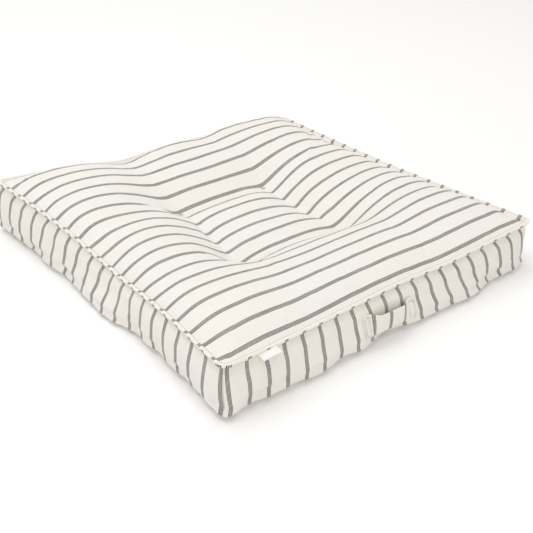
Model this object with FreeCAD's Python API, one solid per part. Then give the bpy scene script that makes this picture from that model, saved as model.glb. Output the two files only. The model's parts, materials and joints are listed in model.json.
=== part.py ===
import FreeCAD, Part
import math
import os

# Square tufted floor cushion. Millimetres, +Z up, origin at the centre of the underside.
# The carrying handle and the sewn-in label are on the front face, which looks along -Y.

V = FreeCAD.Vector

# Overall size
SIDE = 600.0                # seam to seam at the corners
SEAM_HEIGHT = 71.0          # top edge seam above the floor
CROWN = 26.0                # rise of the stuffed top above its edge seam
BOXING_BULGE = 4.0          # how far each side wall bellies out

# Cloth and clearances
CLOTH = 1.2
GAP = 0.3                   # between neighbouring pieces
HALF = SIDE / 2.0
PANEL_HALF = HALF - 3.0     # half side of the top and bottom panels

# Welts: the raised, topstitched edge ridges
WELT_RADIUS = 2.6
WELT_CORNER = 3.0
TOP_WELT_Z = SEAM_HEIGHT + 0.1
BOTTOM_WELT_Z = WELT_RADIUS + GAP
BOXING_TOP = TOP_WELT_Z - WELT_RADIUS - GAP
BOXING_BOTTOM = BOTTOM_WELT_Z + WELT_RADIUS + GAP

# Sewing thread
THREAD = 0.4
STITCH_OFFSET = 1.7         # stitching stands this far outside the seam plane
STITCH_DROP = 1.1           # and this far from the end of the boxing
STITCH_CORNER = 1.5
CORNER_THREAD_DROP = 2.3    # the corner seams stop short of the stitching

# Tufts: the pad is drawn in by four ties, a third of the way in from each side
TUFT_SPACING = SIDE / 3.0
TUFT_DEPTH = 46.0
TUFT_SPREAD = 36.0
UNDER_TUFT_RADIUS = 38.0
UNDER_TUFT_HEIGHT = 16.0
TIE_RADIUS = 0.9
TIE_HOLE = TIE_RADIUS + GAP
TIE_STITCH = 7.5            # length of the stitch on each face
TIE_LIFT = 2.7              # stitch centre above the cloth under it

# Carrying handle: a flat strap sewn down at both ends, standing off in the middle
HANDLE_LENGTH = 100.0
HANDLE_WIDTH = 34.0
HANDLE_CLOTH = 2.4          # folded double
HANDLE_HEIGHT = 32.0        # strap centre above the floor
HANDLE_STAND_OFF = 9.0
HANDLE_CENTRE = -13.0       # the strap's middle, left of the side's middle
HANDLE_RISE_START = 40.0    # distance from the middle where the strap leaves the wall
HANDLE_RISE_END = 20.0      # distance from the middle where it has risen fully
HANDLE_BAND_HALF = 24.0     # half length of the swinging middle
HANDLE_STEPS = 13
HANDLE_STITCH_WIDTH = 11.0
HANDLE_STITCH_HEIGHT = 26.0

# Label: a small folded ribbon caught in the top seam
LABEL_CENTRE = -234.0
LABEL_WIDTH = 30.0
LABEL_LENGTH = 12.0
LABEL_CLOTH = 0.8
LABEL_DROOP = 32.0          # degrees below level
LABEL_ROOT_OUT = 3.2        # its fold line, outside the seam plane
LABEL_ROOT_Z = BOXING_TOP - 0.9

# Grids that the soft faces pass through
TOP_GRID = 29
WALL_GRID_LONG = 15
WALL_GRID_HIGH = 9


def tuft_centres():
    half = TUFT_SPACING / 2.0
    return [(sx * half, sy * half) for sy in (-1, 1) for sx in (-1, 1)]


def top_height(x, y):
    """Height of the outside of the top: a plateau that rolls off to the seam, drawn in at the tufts."""
    u = x / PANEL_HALF
    v = y / PANEL_HALF
    z = SEAM_HEIGHT + CROWN * (1.0 - u ** 4) * (1.0 - v ** 4)
    for cx, cy in tuft_centres():
        r = math.hypot(x - cx, y - cy)
        z -= TUFT_DEPTH * math.exp(-(r / TUFT_SPREAD) ** 2)
    return z


def wall_bulge(s, z):
    """How far a side wall stands out, at s along it from its middle and at height z."""
    t = (z - BOXING_BOTTOM) / (BOXING_TOP - BOXING_BOTTOM)
    t = min(max(t, 0.0), 1.0)
    return BOXING_BULGE * (1.0 - (s / HALF) ** 8) * math.sin(math.pi * t)


def spread(start, end, count):
    return [start + (end - start) * i / (count - 1) for i in range(count)]


def surface(rows):
    face = Part.BSplineSurface()
    face.interpolate(rows)
    return face.toShape()


def top_face(half, drop):
    steps = spread(-half, half, TOP_GRID)
    return surface([[V(x, y, top_height(x, y) - drop) for y in steps] for x in steps])


def wall_face(half, inset, z_low, z_high):
    """The front wall's cloth face, moved in by inset."""
    along = spread(-half, half, WALL_GRID_LONG)
    up = spread(z_low, z_high, WALL_GRID_HIGH)
    return surface([[V(s, inset - HALF - wall_bulge(s, z), z) for z in up] for s in along])


def turned(shape, quarter_turns):
    copy = shape.copy()
    copy.rotate(V(0, 0, 0), V(0, 0, 1), 90.0 * quarter_turns)
    return copy


def block(x0, x1, y0, y1, z0, z1):
    return Part.makeBox(x1 - x0, y1 - y0, z1 - z0, V(x0, y0, z0))


def rounded_square(half, corner, z):
    """Closed wire round a square with rounded corners."""
    flat = half - corner
    edges = []
    for turn in range(4):
        side = Part.makeLine(V(half, -flat, z), V(half, flat, z))
        bend = Part.makeCircle(corner, V(flat, flat, z), V(0, 0, 1), 0, 90)
        for edge in (side, bend):
            edge.rotate(V(0, 0, 0), V(0, 0, 1), 90.0 * turn)
            edges.append(edge)
    return Part.Wire(Part.__sortEdges__(edges))


def cord_ring(half, corner, z, radius):
    """A round cord laid round the cushion, starting on its right face."""
    path = rounded_square(half, corner, z)
    start = path.Edges[0]
    point = start.valueAt(start.FirstParameter)
    direction = start.tangentAt(start.FirstParameter)
    section = Part.Wire(Part.makeCircle(radius, point, direction))
    return path.makePipeShell([section], True, False)


def rod(radius, start, end):
    line = end.sub(start)
    return Part.makeCylinder(radius, line.Length, start, line)


def cone_under(radius, height, lift):
    """Solid space of one under-tuft, its mouth level with lift."""
    return Part.makeCone(radius, TIE_HOLE, height, V(0, 0, lift))


# Cover

def make_top_panel():
    panel = top_face(PANEL_HALF, 0.0).extrude(V(0, 0, -CLOTH))
    for cx, cy in tuft_centres():
        panel = panel.cut(Part.makeCylinder(TIE_HOLE, SIDE, V(cx, cy, 0)))
    return panel


def make_bottom_panel():
    """Flat sheet that rests on the floor, drawn up into a shallow cone at each tuft."""
    panel = block(-PANEL_HALF, PANEL_HALF, -PANEL_HALF, PANEL_HALF, 0, CLOTH)
    for cx, cy in tuft_centres():
        outer = cone_under(UNDER_TUFT_RADIUS, UNDER_TUFT_HEIGHT, CLOTH)
        inner = cone_under(UNDER_TUFT_RADIUS, UNDER_TUFT_HEIGHT, 0)
        outer = outer.fuse(Part.makeCylinder(UNDER_TUFT_RADIUS, CLOTH, V(0, 0, 0)))
        for piece in (outer, inner):
            piece.translate(V(cx, cy, 0))
        panel = panel.fuse(outer).cut(inner)
        panel = panel.cut(Part.makeCylinder(TIE_HOLE, SIDE, V(cx, cy, 0)))
    return panel.removeSplitter()


def make_wall(quarter_turns):
    half = HALF if quarter_turns % 2 == 0 else HALF - CLOTH - GAP
    wall = wall_face(half, 0.0, BOXING_BOTTOM, BOXING_TOP).extrude(V(0, CLOTH, 0))
    return turned(wall, quarter_turns)


def make_corner_thread(sx, sy):
    out = HALF + THREAD * 2.0
    start = V(sx * out, sy * out, BOXING_BOTTOM + CORNER_THREAD_DROP)
    end = V(sx * out, sy * out, BOXING_TOP - CORNER_THREAD_DROP)
    return rod(THREAD, start, end)


# Filling

def make_filling():
    lining = CLOTH + GAP
    half = PANEL_HALF - GAP * 2.0
    core = top_face(half, lining).extrude(V(0, 0, -SIDE / 2.0))
    core = core.common(block(-HALF, HALF, -HALF, HALF, lining, SIDE))
    reach = HALF - 8.0
    belly_face = wall_face(reach, lining, BOXING_BOTTOM + 1.0, BOXING_TOP - 1.0)
    belly = belly_face.extrude(V(0, 40.0, 0))
    for turn in range(4):
        core = core.fuse(turned(belly, turn))
    for cx, cy in tuft_centres():
        cone = cone_under(UNDER_TUFT_RADIUS, UNDER_TUFT_HEIGHT, lining)
        cone = cone.fuse(Part.makeCylinder(UNDER_TUFT_RADIUS, lining, V(0, 0, 0)))
        cone.translate(V(cx, cy, 0))
        core = core.cut(cone)
        core = core.cut(Part.makeCylinder(TIE_HOLE, SIDE, V(cx, cy, 0)))
    return core


def make_tie(cx, cy):
    """A tie through the pad, with a short stitch lying on each face."""
    top = top_height(cx, cy) + TIE_LIFT
    bottom = UNDER_TUFT_HEIGHT - TIE_LIFT * 2.0
    tie = rod(TIE_RADIUS, V(cx, cy, bottom), V(cx, cy, top))
    for z in (bottom, top):
        half = TIE_STITCH / 2.0 if z == top else TIE_STITCH / 4.0
        stitch = rod(TIE_RADIUS, V(cx - half, cy, z), V(cx + half, cy, z))
        tie = tie.fuse(stitch)
    return tie


# Handle

def strap_stand_off(x):
    """Gap between the wall and the strap: nothing over the sewn ends, then a smooth rise."""
    t = (HANDLE_RISE_START - abs(x)) / (HANDLE_RISE_START - HANDLE_RISE_END)
    t = min(max(t, 0.0), 1.0)
    return HANDLE_STAND_OFF * t * t * (3.0 - 2.0 * t)


def make_strap(x_start, x_end):
    wall = HALF + BOXING_BULGE + GAP
    inner = [V(x, -wall - strap_stand_off(x), 0) for x in spread(x_start, x_end, HANDLE_STEPS)]
    outer = [V(p.x, p.y - HANDLE_CLOTH, 0) for p in inner]
    curves = []
    for points in (inner, outer):
        curve = Part.BSplineCurve()
        curve.interpolate(points)
        curves.append(curve.toShape())
    ends = [Part.makeLine(inner[0], outer[0]), Part.makeLine(inner[-1], outer[-1])]
    outline = Part.Wire(Part.__sortEdges__(curves + ends))
    strap = Part.Face(outline).extrude(V(0, 0, HANDLE_WIDTH))
    strap.translate(V(0, 0, HANDLE_HEIGHT - HANDLE_WIDTH / 2.0))
    return strap


def make_handle_end(side):
    near = HANDLE_BAND_HALF + GAP
    far = HANDLE_LENGTH / 2.0
    return make_strap(min(side * near, side * far), max(side * near, side * far))


def make_handle_stitching(side):
    """Box of stitches that holds one strap end down."""
    y = -(HALF + BOXING_BULGE + GAP + HANDLE_CLOTH + GAP + THREAD)
    centre = side * (HANDLE_LENGTH / 2.0 - HANDLE_STITCH_WIDTH / 2.0 - 1.0)
    x0 = centre - HANDLE_STITCH_WIDTH / 2.0 + THREAD
    x1 = centre + HANDLE_STITCH_WIDTH / 2.0 - THREAD
    z0 = HANDLE_HEIGHT - HANDLE_STITCH_HEIGHT / 2.0
    z1 = HANDLE_HEIGHT + HANDLE_STITCH_HEIGHT / 2.0
    corners = [V(x0, y, z0), V(x1, y, z0), V(x1, y, z1), V(x0, y, z1)]
    box = None
    for start, end in zip(corners, corners[1:] + corners[:1]):
        line = rod(THREAD, start, end).fuse(Part.makeSphere(THREAD, start))
        box = line if box is None else box.fuse(line)
    return box


# Label

def make_label():
    label = block(-LABEL_WIDTH / 2.0, LABEL_WIDTH / 2.0, -LABEL_LENGTH, 0,
                  -LABEL_CLOTH / 2.0, LABEL_CLOTH / 2.0)
    label.rotate(V(0, 0, 0), V(1, 0, 0), LABEL_DROOP)
    label.translate(V(LABEL_CENTRE, -(HALF + LABEL_ROOT_OUT), LABEL_ROOT_Z))
    return label


def all_nodes():
    nodes = {
        "filling": make_filling(),
        "top_panel": make_top_panel(),
        "bottom_panel": make_bottom_panel(),
        "top_welt": cord_ring(HALF, WELT_CORNER, TOP_WELT_Z, WELT_RADIUS),
        "bottom_welt": cord_ring(HALF, WELT_CORNER, BOTTOM_WELT_Z, WELT_RADIUS),
        "handle_band": make_strap(-HANDLE_BAND_HALF, HANDLE_BAND_HALF),
        "label": make_label(),
    }
    for turn, name in enumerate(("front", "right", "back", "left")):
        nodes["boxing_" + name] = make_wall(turn)
    seam = HALF + STITCH_OFFSET
    nodes["top_stitching"] = cord_ring(seam, STITCH_CORNER, BOXING_TOP - STITCH_DROP, THREAD)
    nodes["bottom_stitching"] = cord_ring(seam, STITCH_CORNER, BOXING_BOTTOM + STITCH_DROP, THREAD)
    for name, side in (("left", -1), ("right", 1)):
        nodes["handle_end_" + name] = make_handle_end(side)
        nodes["handle_stitching_" + name] = make_handle_stitching(side)
        for row, depth in (("front", -1), ("back", 1)):
            nodes["corner_thread_%s_%s" % (row, name)] = make_corner_thread(side, depth)
            half = TUFT_SPACING / 2.0
            nodes["tuft_tie_%s_%s" % (row, name)] = make_tie(side * half, depth * half)
    for name in nodes:
        if name.startswith("handle"):
            nodes[name].translate(V(HANDLE_CENTRE, 0, 0))
    return nodes


def export(nodes):
    os.makedirs("parts", exist_ok=True)
    for name, shape in nodes.items():
        if not shape.isValid() or not shape.Solids:
            raise RuntimeError("bad solid: " + name)
        shape.exportStep("parts/" + name + ".step")
        box = shape.BoundBox
        print("%-28s solids %d  x %.1f..%.1f  y %.1f..%.1f  z %.2f..%.2f" % (
            name, len(shape.Solids), box.XMin, box.XMax, box.YMin, box.YMax, box.ZMin, box.ZMax))


export(all_nodes())
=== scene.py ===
"""Square tufted floor cushion in striped cotton, laid out as an add-on: one operator for each
piece or group of like pieces, and one for the stage. Metres, +Z up, handle and label towards -Y."""
import json
import math

import bpy
import numpy as np
from mathutils import Matrix, Vector


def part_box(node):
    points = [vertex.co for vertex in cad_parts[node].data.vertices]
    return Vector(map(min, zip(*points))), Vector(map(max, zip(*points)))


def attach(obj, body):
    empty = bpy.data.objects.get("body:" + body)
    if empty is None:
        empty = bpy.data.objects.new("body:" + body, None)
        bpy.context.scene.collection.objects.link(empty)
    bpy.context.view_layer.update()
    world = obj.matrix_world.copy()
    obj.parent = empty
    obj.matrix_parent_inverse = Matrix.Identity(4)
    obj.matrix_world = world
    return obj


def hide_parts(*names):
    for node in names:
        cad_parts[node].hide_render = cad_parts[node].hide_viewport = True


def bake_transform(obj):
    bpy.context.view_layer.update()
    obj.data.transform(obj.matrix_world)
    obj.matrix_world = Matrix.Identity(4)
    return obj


bl_info = {
    "name": "Tufted floor cushion",
    "version": (1, 0, 0),
    "blender": (4, 5, 0),
    "location": "3D View > Sidebar > Cushion",
    "description": "Builds a square tufted floor cushion with a handle and a label",
    "category": "Object",
}

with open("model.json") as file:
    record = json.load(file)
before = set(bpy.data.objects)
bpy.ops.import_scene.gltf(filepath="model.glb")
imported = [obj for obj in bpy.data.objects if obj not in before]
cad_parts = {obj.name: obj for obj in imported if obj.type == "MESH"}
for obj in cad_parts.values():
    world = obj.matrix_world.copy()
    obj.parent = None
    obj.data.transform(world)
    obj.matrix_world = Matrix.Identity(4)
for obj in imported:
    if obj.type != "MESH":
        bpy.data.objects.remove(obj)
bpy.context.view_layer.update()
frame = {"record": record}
PAD_BODY = "cushion"
LABEL_BODY = "label"
SIDES = ("front", "right", "back", "left")
CORNERS = ("front_left", "front_right", "back_right", "back_left")
UP = np.array((0.0, 0.0, 1.0))
built = {}                      # surfaces that several operators share


# Sizes a user would change

def length(name, default, description):
    return bpy.props.FloatProperty(name=name, default=default, unit="LENGTH", precision=4,
                                   description=description)


def colour(name, default, description):
    return bpy.props.FloatVectorProperty(name=name, default=default, size=3, subtype="COLOR",
                                         min=0.0, max=1.0, description=description)


def number(name, default, description):
    return bpy.props.FloatProperty(name=name, default=default, description=description)


class PadSizes(bpy.types.PropertyGroup):
    half: length("Half side", 0.300, "From the middle to the edge seam at a corner")
    corner_radius: length("Corner radius", 0.009, "Rounding of the edge seam at the corners")
    seam_corners: bpy.props.FloatVectorProperty(
        name="Seam height at corners", size=4, unit="LENGTH", default=(0.0742, 0.0746, 0.0498, 0.0855),
        description="Edge seam above the floor: front left, front right, back right, back left")
    seam_middles: bpy.props.FloatVectorProperty(
        name="Seam height at middles", size=4, unit="LENGTH", default=(0.0676, 0.0611, 0.0668, 0.0779),
        description="Edge seam above the floor halfway along: front, right, back, left")
    pull: bpy.props.FloatVectorProperty(
        name="Pull-in", size=4, unit="LENGTH", default=(0.0096, 0.0127, 0.0104, 0.0214),
        description="How far each side's seam is drawn in halfway along: front, right, back, left")
    crown: length("Crown", 0.0272, "Rise of the stuffed top above its seam")
    roll: bpy.props.FloatVectorProperty(
        name="Edge roll", size=4, unit="LENGTH", default=(0.0431, 0.0236, 0.0073, 0.0360),
        description="How soon the top rises from each edge: front, right, back, left")
    tuft_reach: length("Tuft reach", 0.022, "How wide a tuft's own dimple is")
    cloth: length("Cloth", 0.0010, "Thickness of the cover")
    cell: bpy.props.IntProperty(name="Cells along a side", default=100, min=40, max=200,
                                description="Grid cells along a side while the cover is inflated")
    pressure: number("Pressure", 4.0, "Pressure of the filling against the cover")
    swell: length("Most swelling", 0.004, "The furthest that the filling may push the cover")


class ClothLook(bpy.types.PropertyGroup):
    pitch: length("Stripe pitch", 0.03102, "From one stripe to the next")
    yarn: length("Dark yarn pitch", 0.0016, "From one dark line to the next within a stripe")
    stripe_half: length("Half stripe", 0.0031, "Half the width of a stripe")
    ground: colour("Ground", (0.875, 0.855, 0.822), "Undyed cotton")
    dark: colour("Dark yarn", (0.022, 0.021, 0.019), "Dyed yarn")
    thread: colour("Thread", (0.60, 0.53, 0.44), "Sewing thread")
    ribbon: colour("Ribbon", (0.90, 0.90, 0.89), "Label ribbon")
    fibre: colour("Fibre", (0.85, 0.82, 0.76), "Stuffing")


class StrapSizes(bpy.types.PropertyGroup):
    reach: length("Half length", 0.050, "From the middle of the strap to its sewn end")
    width: length("Width", 0.034, "Width of the folded strap")
    cloth: length("Thickness", 0.0028, "Thickness of the doubled cloth")
    rise_start: length("Rise start", 0.040, "From the middle to where the strap leaves the wall")
    rise_end: length("Rise end", 0.020, "From the middle to where the strap stands off fully")


class StageLook(bpy.types.PropertyGroup):
    azimuth: number("Azimuth", -39.85, "Camera direction round the cushion, in degrees")
    elevation: number("Elevation", 31.4, "Camera height above the horizon, in degrees")
    roll: number("Roll", 1.2, "Camera roll, in degrees")
    distance: length("Distance", 1.370, "Camera to its target")
    target: bpy.props.FloatVectorProperty(name="Target", size=3, unit="LENGTH",
                                          default=(-0.085, -0.120, 0.050),
                                          description="Point the camera looks at")
    lens: number("Lens", 63.0, "Focal length in millimetres on a 36 mm sensor")
    floor: colour("Floor", (0.95, 0.95, 0.95), "Floor and surroundings")


def settings(name):
    return getattr(bpy.context.scene, name)


# Shader maths

class Value:
    """A socket's value. Arithmetic on it adds Math nodes to its finish."""

    def __init__(self, finish, socket):
        self.finish = finish
        self.socket = socket

    def maths(self, operation, *values):
        return self.finish.add("ShaderNodeMath", {"operation": operation}, values)

    def __add__(self, other):
        return self.maths("ADD", self, other)

    def __radd__(self, other):
        return self.maths("ADD", other, self)

    def __sub__(self, other):
        return self.maths("SUBTRACT", self, other)

    def __rsub__(self, other):
        return self.maths("SUBTRACT", other, self)

    def __mul__(self, other):
        return self.maths("MULTIPLY", self, other)

    def __rmul__(self, other):
        return self.maths("MULTIPLY", other, self)

    def __abs__(self):
        return self.maths("ABSOLUTE", self)

    def cosine(self):
        return self.maths("COSINE", self)

    def sine(self):
        return self.maths("SINE", self)

    def wrapped(self, period):
        """The value less its nearest multiple of period."""
        return self.maths("WRAP", self, period / 2.0, -period / 2.0)


class Finish:
    """One material, drawn with nodes."""

    def __init__(self, name):
        self.material = bpy.data.materials.new(name)
        self.material.use_nodes = True
        self.tree = self.material.node_tree
        self.tree.nodes.clear()
        self.surface = self.tree.nodes.new("ShaderNodeBsdfPrincipled")
        output = self.tree.nodes.new("ShaderNodeOutputMaterial")
        self.tree.links.new(self.surface.outputs["BSDF"], output.inputs["Surface"])

    def feed(self, socket, value):
        if isinstance(value, Value):
            self.tree.links.new(value.socket, socket)
        else:
            socket.default_value = value

    def add(self, kind, settings, values, output=0):
        """Adds a node: its settings first, then its sockets, given in order or by name or index."""
        node = self.tree.nodes.new(kind)
        for key, setting in settings.items():
            setattr(node, key, setting)
        pairs = values.items() if isinstance(values, dict) else enumerate(values)
        for key, value in pairs:
            self.feed(node.inputs[key], value)
        return Value(self, node.outputs[output])

    def ease(self, value, low, high, start=0.0, end=1.0):
        """start where value is below low, end above high, and a smooth turn between."""
        return self.add("ShaderNodeMapRange", {"interpolation_type": "SMOOTHSTEP"},
                        {"Value": value, "From Min": low, "From Max": high,
                         "To Min": start, "To Max": end})

    def mix(self, factor, a, b):
        colour_a = a if isinstance(a, Value) else (*a, 1.0)
        colour_b = b if isinstance(b, Value) else (*b, 1.0)
        return self.add("ShaderNodeMix", {"data_type": "RGBA"}, {0: factor, 6: colour_a, 7: colour_b}, 2)

    def noise(self, vector, scale, detail=2.0, roughness=0.5):
        """Smooth noise about 0.5."""
        return self.add("ShaderNodeTexNoise", {"noise_dimensions": "3D"},
                        {"Vector": vector, "Scale": scale, "Detail": detail, "Roughness": roughness})

    def scaled(self, vector, factors):
        return self.add("ShaderNodeVectorMath", {"operation": "MULTIPLY"}, {0: vector, 1: factors})

    def place(self):
        """The piece's own coordinates, in metres."""
        return self.add("ShaderNodeTexCoord", {}, {}, "Object")

    def cloth_place(self):
        """The cloth's flat coordinates: along the stripes, and across them, in metres."""
        flat = self.add("ShaderNodeUVMap", {"uv_map": "cloth"}, {})
        split = self.tree.nodes.new("ShaderNodeSeparateXYZ")
        self.tree.links.new(flat.socket, split.inputs[0])
        return flat, Value(self, split.outputs["X"]), Value(self, split.outputs["Y"])

    def bump(self, height, depth):
        """Normal from a height of 0 to 1 that stands for depth metres."""
        return self.add("ShaderNodeBump", {}, {"Height": height, "Strength": 1.0, "Distance": depth},
                        "Normal")

    def set(self, **sockets):
        names = {"colour": "Base Color", "roughness": "Roughness", "normal": "Normal",
                 "sheen": "Sheen Weight", "sheen_roughness": "Sheen Roughness",
                 "specular": "Specular IOR Level"}
        for key, value in sockets.items():
            if key == "colour" and not isinstance(value, Value):
                value = (*value, 1.0)
            self.feed(self.surface.inputs[names[key]], value)
        return self.material


WEAVE_PITCH = 0.00085           # from one thread of the ground weave to the next
STRIPE_EDGE = 0.0003            # how softly a stripe ends, each way
STRIPE_WANDER = 0.0012          # how far a stripe wanders off its line
YARN_SLUB = 0.6                 # how much the dark yarns thicken and thin
SLUB_GRAIN = (22.0, 260.0, 1.0)         # noise grains per metre along and across the stripes
WANDER_GRAIN = (9.0, 9.0, 1.0)
FLECK_GRAIN = (70.0, 900.0, 1.0)
CROSS_FLECK_GRAIN = (900.0, 70.0, 1.0)


def striped_cotton():
    """Plain-woven undyed cotton with groups of four dark yarns.

    Across the stripes, the distance to the nearest group's middle makes a cosine whose crests are
    the dark yarns, kept inside the group. Slow noise along the yarns thins and thickens them.
    """
    look = settings("cushion_cloth")
    finish = Finish("striped_cotton")
    flat, along, across = finish.cloth_place()
    slub = finish.noise(finish.scaled(flat, SLUB_GRAIN), 1.0, 2.0)
    wander = finish.noise(finish.scaled(flat, WANDER_GRAIN), 1.0, 1.0)
    drift = (wander - 0.5) * STRIPE_WANDER
    off = (across + drift).wrapped(look.pitch)
    crests = (off * (2.0 * math.pi / look.yarn) + math.pi).cosine()
    inside = finish.ease(abs(off), look.stripe_half - STRIPE_EDGE, look.stripe_half + STRIPE_EDGE, 1.0, 0.0)
    yarns = finish.ease(crests + (slub - 0.5) * YARN_SLUB, -0.72, -0.22) * inside
    warp = (along * (math.pi / WEAVE_PITCH)).sine()
    weft = (across * (math.pi / WEAVE_PITCH)).sine()
    weave = warp * weft * 0.5 + 0.5
    fleck = finish.noise(finish.scaled(flat, FLECK_GRAIN), 1.0, 3.0, 0.6)
    cross_fleck = finish.noise(finish.scaled(flat, CROSS_FLECK_GRAIN), 1.0, 3.0, 0.6)
    cloudy = finish.noise(finish.place(), 14.0, 3.0)
    light = finish.ease(fleck * 0.5 + cross_fleck * 0.5, 0.36, 0.64)
    ground = finish.mix(light, [c * 0.93 for c in look.ground], look.ground)
    warm = [look.ground[0] * 0.985, look.ground[1] * 0.960, look.ground[2] * 0.915]
    ground = finish.mix(finish.ease(cloudy, 0.35, 0.72) * 0.6, ground, warm)
    dark = finish.mix(light, look.dark, [c * 1.9 for c in look.dark])
    base = finish.mix(yarns, ground, dark)
    # Painted shade: the weave's low places, between its threads, are darkened a little towards a dark beige
    base = finish.mix((1.0 - weave) * 0.07, base, (0.45, 0.42, 0.37))
    height = weave * 0.55 + fleck * 0.25 + cross_fleck * 0.20
    return finish.set(colour=base, roughness=finish.ease(light, 0.0, 1.0, 0.93, 0.84),
                      normal=finish.bump(height, 0.00022), sheen=0.12, sheen_roughness=0.6,
                      specular=0.22)


def spun_thread():
    """Twisted thread: fine noise for its plies, and slow noise that wears it paler."""
    look = settings("cushion_cloth")
    finish = Finish("spun_thread")
    place = finish.place()
    plies = finish.noise(place, 1800.0, 2.0)
    wear = finish.noise(place, 60.0, 2.0)
    base = finish.mix(finish.ease(plies, 0.35, 0.65), [c * 0.78 for c in look.thread], look.thread)
    base = finish.mix(finish.ease(wear, 0.4, 0.8) * 0.5, base, [min(1.0, c * 1.3) for c in look.thread])
    return finish.set(colour=base, roughness=0.7, normal=finish.bump(plies, 0.0002), specular=0.3)


def tufting_twine():
    """Thick waxed twine, paler than the sewing thread, with coarse plies."""
    look = settings("cushion_cloth")
    finish = Finish("tufting_twine")
    plies = finish.noise(finish.place(), 900.0, 2.0)
    pale = [0.5 * (a + b) for a, b in zip(look.thread, look.ground)]
    base = finish.mix(finish.ease(plies, 0.35, 0.65), [c * 0.8 for c in pale], pale)
    return finish.set(colour=base, roughness=0.6, normal=finish.bump(plies, 0.0003), specular=0.35)


def satin_ribbon():
    """Woven satin: fine floats run across the ribbon, with a soft sheen."""
    look = settings("cushion_cloth")
    finish = Finish("satin_ribbon")
    flat, along, _ = finish.cloth_place()
    floats = (along * (2.0 * math.pi / 0.0006)).sine() * 0.5 + 0.5
    threads = finish.noise(finish.scaled(flat, (200.0, 1500.0, 1.0)), 1.0, 2.0)
    base = finish.mix(finish.ease(threads, 0.3, 0.7), [c * 0.95 for c in look.ribbon], look.ribbon)
    return finish.set(colour=base, roughness=finish.ease(threads, 0.3, 0.7, 0.42, 0.55),
                      normal=finish.bump(floats * 0.6 + threads * 0.4, 0.00008),
                      sheen=0.2, sheen_roughness=0.3, specular=0.45)


def loose_fibre():
    """Carded stuffing: tangled strands as stretched noise."""
    look = settings("cushion_cloth")
    finish = Finish("loose_fibre")
    place = finish.place()
    strands = finish.noise(place, 160.0, 6.0, 0.7)
    clumps = finish.noise(place, 22.0, 3.0)
    base = finish.mix(finish.ease(strands, 0.3, 0.7), [c * 0.85 for c in look.fibre], look.fibre)
    base = finish.mix(finish.ease(clumps, 0.4, 0.8) * 0.4, base, [c * 0.9 for c in look.fibre])
    return finish.set(colour=base, roughness=0.95, normal=finish.bump(strands, 0.001), sheen=0.3,
                      sheen_roughness=0.7, specular=0.15)


def finish_named(name):
    maker = {"striped_cotton": striped_cotton, "sewing_thread": spun_thread,
             "tufting_twine": tufting_twine, "satin_ribbon": satin_ribbon, "wadding": loose_fibre}
    if name not in built:
        built[name] = maker[name]()
    return built[name]


# Meshes from numpy grids

def grid_faces(index, flip=False):
    """Four-sided faces between the points of a grid of point numbers."""
    a, b, c, d = index[:-1, :-1], index[1:, :-1], index[1:, 1:], index[:-1, 1:]
    order = (a, d, c, b) if flip else (a, b, c, d)
    return np.stack(order, -1).reshape(-1, 4)


def make_mesh(name, points, faces, flat=None):
    """A smooth mesh from points, four-sided faces and, per face corner, the cloth's flat place."""
    mesh = bpy.data.meshes.new(name)
    mesh.from_pydata(np.asarray(points, float).tolist(), [], np.asarray(faces).tolist())
    mesh.polygons.foreach_set("use_smooth", np.ones(len(mesh.polygons), bool))
    if flat is not None:
        layer = mesh.uv_layers.new(name="cloth")
        layer.data.foreach_set("uv", np.asarray(flat, np.float32).ravel())
    mesh.update()
    return mesh


def show(name, mesh, slot, nodes, body=PAD_BODY):
    """Makes the object, gives it its finish, hides the nodes it stands for and sets what it rides on."""
    piece = bpy.data.objects.new(name, mesh)
    bpy.context.scene.collection.objects.link(piece)
    mesh.materials.append(finish_named(slot))
    if body:
        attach(piece, body)
    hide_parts(*nodes)
    return piece


def unit(vectors):
    """The same directions at length 1."""
    return vectors / np.linalg.norm(vectors, axis=-1, keepdims=True)


def smooth(t):
    """A smooth step: 0 at 0, 1 at 1 and level at both."""
    return t * t * (3 - 2 * t)


def run_along(path):
    """How far along a path each of its points lies."""
    return np.concatenate([[0], np.cumsum(np.linalg.norm(np.diff(path, axis=0), axis=1))])


def thicken(piece, thickness):
    wall = piece.modifiers.new("cloth", "SOLIDIFY")
    wall.thickness = thickness
    wall.offset = -1.0
    wall.use_even_offset = False
    return piece


def finer(grid):
    """Twice the points each way: each new point is the cubic through its four neighbours."""
    for axis in (0, 1):
        g = np.moveaxis(grid, axis, 0)
        before = np.concatenate([2 * g[:1] - g[1:2], g[:-2]])
        after = np.concatenate([g[2:], 2 * g[-1:] - g[-2:-1]])
        middle = (-before + 9 * g[:-1] + 9 * g[1:] - after) / 16
        out = np.empty((len(g) * 2 - 1, *g.shape[1:]))
        out[0::2] = g
        out[1::2] = middle
        grid = np.moveaxis(out, 0, axis)
    return grid


def grid_normals(points):
    """Unit normals of a grid of points, from the slopes along its two directions."""
    du = np.gradient(points, axis=0)
    dv = np.gradient(points, axis=1)
    n = np.cross(du, dv)
    return n / np.maximum(np.linalg.norm(n, axis=-1, keepdims=True), 1e-12)


# The cover's shape

def seam_height(side, s):
    """Edge seam height at s from -1 to 1 along a side: its corners' heights joined by a straight
    line, with the middle brought to its own height by 1 - s^4, less the dips."""
    pad = settings("cushion_pad")
    start, end = pad.seam_corners[side], pad.seam_corners[(side + 1) % 4]
    middle = pad.seam_middles[side]
    height = (start * (1 - s) + end * (1 + s)) / 2 + (middle - (start + end) / 2) * (1 - s ** 4)
    for where, place, width, depth in SEAM_DIPS:
        if where == side:
            height = height - depth * np.exp(-((s - place) / width) ** 2)
    return height


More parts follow.
